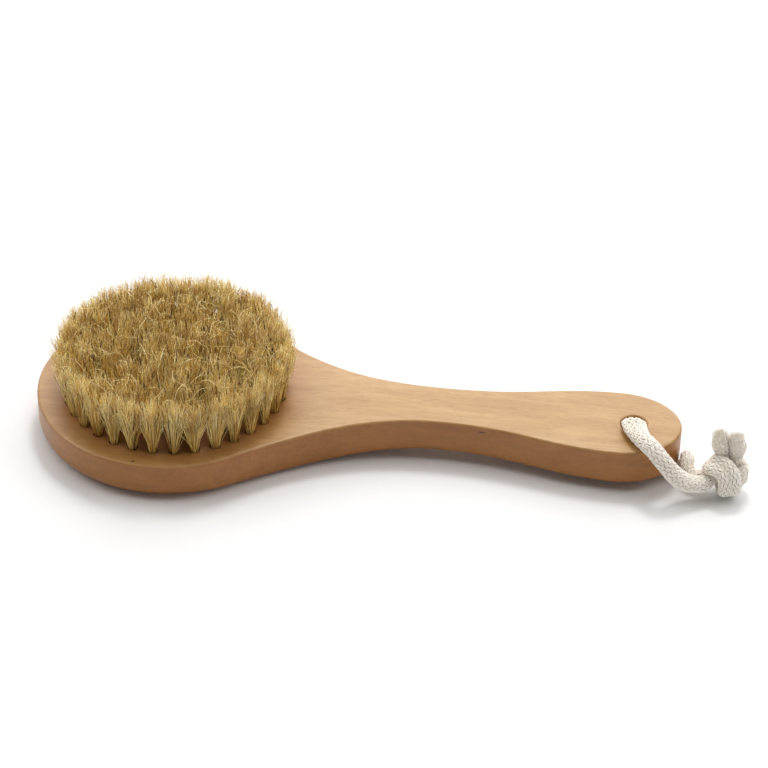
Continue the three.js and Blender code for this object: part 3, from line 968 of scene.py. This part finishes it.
def bristle_offsets(kind, disk, leaner):
    """How far each bristle is off its tuft's axis at each level: a narrow cone whose tips mingle with the
    neighbours', each bristle bent a little and curled at its tip."""
    count = len(disk)
    root = disk * ROOT_RADIUS
    tuft_lean = draws.normal(0, kind.lean, 2)
    scatter = np.where(leaner[:, None], LEANER_SCATTER, kind.scatter)
    tip = disk * kind.spread + draws.normal(0, 1, (count, 2)) * scatter + tuft_lean
    climb = np.clip(kind.levels / BRISTLE_HEIGHT, 0, 1)
    bend = draws.normal(0, 1, (count, 2)) * np.where(leaner, 0.5, 0.25)[:, None]
    curl = draws.normal(0, 0.3, (count, 2)) * draws.gamma(1.0, 1.3, (count, 1))
    offset = root[:, None, :] + stepped(tip - root, climb**kind.opening_power)
    offset += stepped(bend, np.sin(math.pi * climb))
    offset += stepped(curl, climb**CURL_POWER)
    return offset


def bristle_heights(kind, share):
    """Each bristle's heights. The tuft as a whole, and each bristle in it, ends a little high or low, and the
    tuft's crown is domed."""
    count = len(share)
    shortfall = MOST_SHORTFALL * draws.beta(1, 1.5, count)
    tuft_height = draws.normal(1.2, 0.8)
    trimmed = BRISTLE_HEIGHT + tuft_height + draws.normal(0.3, 0.5, count) - shortfall
    trimmed += 0.7 - kind.doming * share**2
    height = np.broadcast_to(kind.levels, (count, len(kind.levels))).copy()
    height[:, 2:] *= (trimmed / BRISTLE_HEIGHT)[:, None]
    return height


def bristle_tones(kind, share, leaner):
    """Each bristle's own tone, with painted shade towards the tuft's rim and painted light over the tuft, and
    paler for those that lean.
    """
    count = len(share)
    tone = draws.choice(BASE_TONES, count, p=kind.tone_weights)
    tuft_tone = draws.normal(0, kind.tone_scatter)
    tone = np.clip(tone + tuft_tone + draws.normal(0, 0.05, count), 0, 1)
    # Painted shade towards the tuft's rim, and painted light over all of it.
    tone = tone + (kind.rim_painted_shade * share**2 + kind.middle_painted_light)
    return np.where(leaner, tone * LEANER_TONE, tone)


def tuft_bristles(spot, kind):
    """One tuft's bristles as lines, with their thickness and tone at each level. The tone has painted shade
    towards the foot and painted light at the tip.
    """
    disk, share = random_disk(kind.bristles)
    leaner = draws.random(kind.bristles) < LEANER_SHARE
    offset = bristle_offsets(kind, disk, leaner)
    height = bristle_heights(kind, share)
    taper = np.interp(kind.levels, [0, 12, BRISTLE_HEIGHT], [1, 0.95, 0.45])
    widest = BRISTLE_HALF_THICKNESS * draws.normal(1, 0.2, kind.bristles).clip(0.6, 1.6)
    tone = bristle_tones(kind, share, leaner)
    thickness = widest[:, None] * taper * np.where(tone > DARK_TONE, 1.5, 1.0)[:, None]
    # Painted shade darkens each bristle towards its foot, and painted light makes its tip paler.
    tone = tone[:, None] + np.interp(kind.levels, [0, 10, BRISTLE_HEIGHT], [0.16, 0.06, -0.06])
    return tuft_lines(spot, offset, height), thickness, tone.clip(0, 1)


def bristle_piece(name, lines, thickness, tones, material):
    """Thin fibres as one object, with their tones."""
    outs = np.broadcast_to(np.array([1.0, 0.2, 0.0]), lines.shape)
    points, faces = tubes(lines, outs, thickness, thickness, FIBRE_SIDES)
    piece = add_object(name, points, faces, [material])
    add_tone(piece, np.repeat(tones, FIBRE_SIDES))
    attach(piece, BRUSH_BODY)
    return piece


def add_tuft(name, spots, kind, material, node):
    """One piece of bristles that stands for one or more tufts."""
    made = [tuft_bristles(spot, kind) for spot in spots]
    lines, thickness, tones = (np.vstack(parts) for parts in zip(*made))
    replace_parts(bristle_piece(name, lines, thickness, tones, material), node)


# The bristles' split ends.
FLAGS_PER_TUFT = 60
FLAG_RADIUS = 4.3
FLAG_STEPS = np.array([0, 0.35, 0.65, 0.87, 1.0])
FLAG_HALF_THICKNESS = np.array([0.06, 0.06, 0.055, 0.045, 0.025])
DARKEST_FLAG = 0.3


def tuft_flags(spot):
    """Fine curled fibres along the top of one tuft."""
    disk, share = random_disk(FLAGS_PER_TUFT)
    start = disk * FLAG_RADIUS
    drift = draws.normal(0, 1.0, (FLAGS_PER_TUFT, 2)) + start * 0.1
    curl = draws.normal(0, 0.8, (FLAGS_PER_TUFT, 2))
    low = draws.uniform(9.5, 14, FLAGS_PER_TUFT)
    high = BRISTLE_HEIGHT + draws.normal(0.7, 0.9, FLAGS_PER_TUFT) - 1.2 * share**2
    offset = start[:, None, :] + stepped(drift, FLAG_STEPS)
    offset += stepped(curl, FLAG_STEPS**3)
    return tuft_lines(spot, offset, low[:, None] + (high - low)[:, None] * FLAG_STEPS)


def add_flags(spots, material):
    """All the tufts' split ends as one piece."""
    lines = np.vstack([tuft_flags(spot) for spot in spots])
    thickness = np.broadcast_to(FLAG_HALF_THICKNESS, lines.shape[:2])
    tones = draws.uniform(0, DARKEST_FLAG, (len(lines), 1))
    bristle_piece("bristle_flags", lines, thickness, np.broadcast_to(tones, lines.shape[:2]), material)


# Single hairs: how many of each sort, their half thickness and their tones.
LYING_HAIRS = 230
SIDE_HAIRS = 130
DARK_BRISTLES = 110
HAIR_STEPS = np.linspace(0, 1, 9)
HAIR_HALF_THICKNESS = 0.07
DARK_HALF_THICKNESS = 0.17
DARKEST_HAIR = 0.15
DARK_BRISTLE_TONE = 0.93


def lying_hair():
    """A long hair that lies curved across the top, its start tucked in among the bristles."""
    radius = OUTER_RING_RADIUS * math.sqrt(draws.random())
    angle = random_angle()
    heading = random_angle()
    bow = draws.normal(0, 1.1)
    length = draws.uniform(5, 13)
    turn = heading + bow * HAIR_STEPS
    flat = np.column_stack([np.cumsum(np.cos(turn)), np.cumsum(np.sin(turn))]) * length / len(HAIR_STEPS)
    centre = radius * np.array([math.cos(angle), math.sin(angle)]) + np.array([TUFT_CENTRE_X, 0])
    arch = draws.uniform(0.2, 1.2) * np.sin(math.pi * HAIR_STEPS) - 1.6 * (1 - HAIR_STEPS) ** 3
    return np.column_stack([flat + centre, HEAD_THICKNESS + BRISTLE_HEIGHT + 0.5 + arch])


def side_hair():
    """A hair that stands out from the side of the outer ring and bends upward."""
    outward, sideways = level_directions(random_angle())
    low = draws.uniform(8, 15)
    reach = draws.gamma(2.0, 0.9)
    drift = draws.normal(0, 1.8)
    climb = draws.uniform(2.5, 5)
    start = np.array([TUFT_CENTRE_X, 0, HEAD_THICKNESS + low]) + outward * (OUTER_RING_RADIUS + 1.2)
    line = start + np.outer(HAIR_STEPS**1.4 * reach, outward) + np.outer(HAIR_STEPS**2 * drift, sideways)
    line[:, 2] += climb * np.sin(HAIR_STEPS * draws.uniform(1.2, 2.2))
    return line


def dark_bristle():
    """A thick dark bristle that stands upright among the pale ones."""
    radius = OUTER_RING_RADIUS * math.sqrt(draws.random()) * 1.05
    angle = random_angle()
    x = TUFT_CENTRE_X + radius * math.cos(angle)
    y = radius * math.sin(angle)
    reach = draws.normal(0, 0.8, 2)
    low = HEAD_THICKNESS + draws.uniform(11, 13)
    high = HEAD_THICKNESS + BRISTLE_HEIGHT + draws.normal(0.8, 0.9)
    height = low + (high - low) * HAIR_STEPS
    return np.column_stack([x + reach[0] * HAIR_STEPS**2, y + reach[1] * HAIR_STEPS**2, height])


def add_strays(material):
    """All the single hairs as one piece."""
    lines = [lying_hair() for _ in range(LYING_HAIRS)]
    lines += [side_hair() for _ in range(SIDE_HAIRS)]
    lines += [dark_bristle() for _ in range(DARK_BRISTLES)]
    lines = np.array(lines)
    dark = np.arange(len(lines)) >= LYING_HAIRS + SIDE_HAIRS
    widest = np.where(dark, DARK_HALF_THICKNESS, HAIR_HALF_THICKNESS)
    thickness = widest[:, None] * np.interp(HAIR_STEPS, [0, 0.7, 1], [1, 0.9, 0.4])
    tones = np.where(dark, DARK_BRISTLE_TONE, draws.uniform(0, DARKEST_HAIR, len(lines)))
    tones = np.broadcast_to(tones[:, None], lines.shape[:2])
    bristle_piece("stray_bristles", lines, thickness, tones, material)


def add_bristles(material):
    """One piece for each outer tuft and for each inner ring, then the split ends and the single hairs."""
    spots = tuft_places()
    for spot in spots[: TUFT_COUNTS[0]]:
        number = f"{spot[1] + 1:02d}"
        add_tuft(f"outer_bristles_{number}", [spot], OUTER_TUFTS, material, f"outer_tuft_{number}")
    for ring in range(1, len(TUFT_COUNTS)):
        members = [spot for spot in spots if spot[0] == ring]
        add_tuft(f"ring_{ring + 1}_bristles", members, INNER_TUFTS, material, f"tuft_ring_{ring + 1}")
    add_flags(spots, material)
    add_strays(material)


# The wire of one anchor across the bottom of its hole, in the tuft's own directions.
ANCHOR_ROUTE = [(-1.5, 0, 1.9), (-1.35, 0, 0.5), (-0.5, 0, 0), (0.5, 0, 0), (1.35, 0, 0.5), (1.5, 0, 1.9)]
ANCHOR_SPACING = 0.4
ANCHOR_CLEARANCE = 0.5
WIRE_RADIUS = 0.2
WIRE_SIDES = 6


def add_anchors(material):
    """The bent wire that holds each tuft's folded bristles at the bottom of its hole."""
    staple = spline(ANCHOR_ROUTE, ANCHOR_SPACING)
    lines = []
    for _, _, foot, outward, sideways, upward in tuft_places():
        bottom = foot - (TUFT_HOLE_DEPTH - ANCHOR_CLEARANCE) * upward
        lines.append(bottom + staple @ np.array([outward, sideways, upward]))
    lines = np.array(lines)
    outs = np.broadcast_to(np.array([0.3, 1.0, 0.1]), lines.shape)
    thickness = np.full(lines.shape[:2], WIRE_RADIUS)
    points, faces = tubes(lines, outs, thickness, thickness, WIRE_SIDES)
    anchors = add_object("tuft_anchors", points, faces, [material])
    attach(anchors, BRUSH_BODY)


# ---- Floor and light ----

FLOOR_HALF_SIZE = 4000
FLOOR_DROP = 0.02
FLOOR_COLOURS = [(0.0, (0.9, 0.9, 0.9)), (1.0, (0.92, 0.92, 0.92))]

# A light tent's softboxes and lit backdrop: name, place, target and size in metres, and power in watts.
LIGHTS = [
    ("key", (0.05, 0.55, 1.3), (0, 0, 0), (0.3, 0.25), 4.7),
    ("top_softbox", (0.0, 0.15, 1.4), (0, 0, 0), (1.6, 1.2), 5.2),
    ("left_softbox", (-1.15, 0.1, 1.0), (0, 0, 0), (1.0, 1.0), 6.2),
    ("right_softbox", (1.15, 0.1, 1.0), (0, 0, 0), (1.0, 1.0), 5.6),
    ("front_card", (0.3, -1.3, 0.45), (0, 0, 0.02), (1.4, 0.6), 2.1),
    ("backdrop", (0, 1.6, 0.95), (0, 0, 0.02), (3.0, 1.9), 26),
]
ROOM_STRENGTH = 0.08


def add_floor():
    """A plain matt white floor, just under the brush."""
    shader = Shader("floor", 0.9)
    colour = shader.ramp(shader.noise((3, 3, 3), detail=1), FLOOR_COLOURS)
    half = FLOOR_HALF_SIZE
    corners = [(-half, -half, 0), (half, -half, 0), (half, half, 0), (-half, half, 0)]
    floor = add_object("floor", corners, [(0, 1, 2, 3)], [shader.finish(colour)], smooth=False)
    floor.location.z = -FLOOR_DROP * MM


def add_light(name, place, target, size, power):
    """A rectangular area light."""
    data = bpy.data.lights.new(name, "AREA")
    data.shape = "RECTANGLE"
    data.size, data.size_y = size
    data.energy = power
    light = bpy.data.objects.new(name, data)
    bpy.context.scene.collection.objects.link(light)
    light.location = place
    light.rotation_euler = (Vector(target) - Vector(place)).to_track_quat("-Z", "Y").to_euler()


def add_room():
    """The dim white room round the light tent, and how the picture is developed."""
    world = bpy.data.worlds.new("room")
    world.use_nodes = True
    background = world.node_tree.nodes["Background"]
    background.inputs["Color"].default_value = (1, 1, 1, 1)
    background.inputs["Strength"].default_value = ROOM_STRENGTH
    scene = bpy.context.scene
    scene.world = world
    scene.view_settings.view_transform = "Standard"
    scene.view_settings.look = "Medium High Contrast"


add_camera()
add_cord(cotton_material())
add_wooden_body(wood_material())
add_bristles(bristle_material())
add_anchors(anchor_material())
add_floor()
for light in LIGHTS:
    add_light(*light)
add_room()
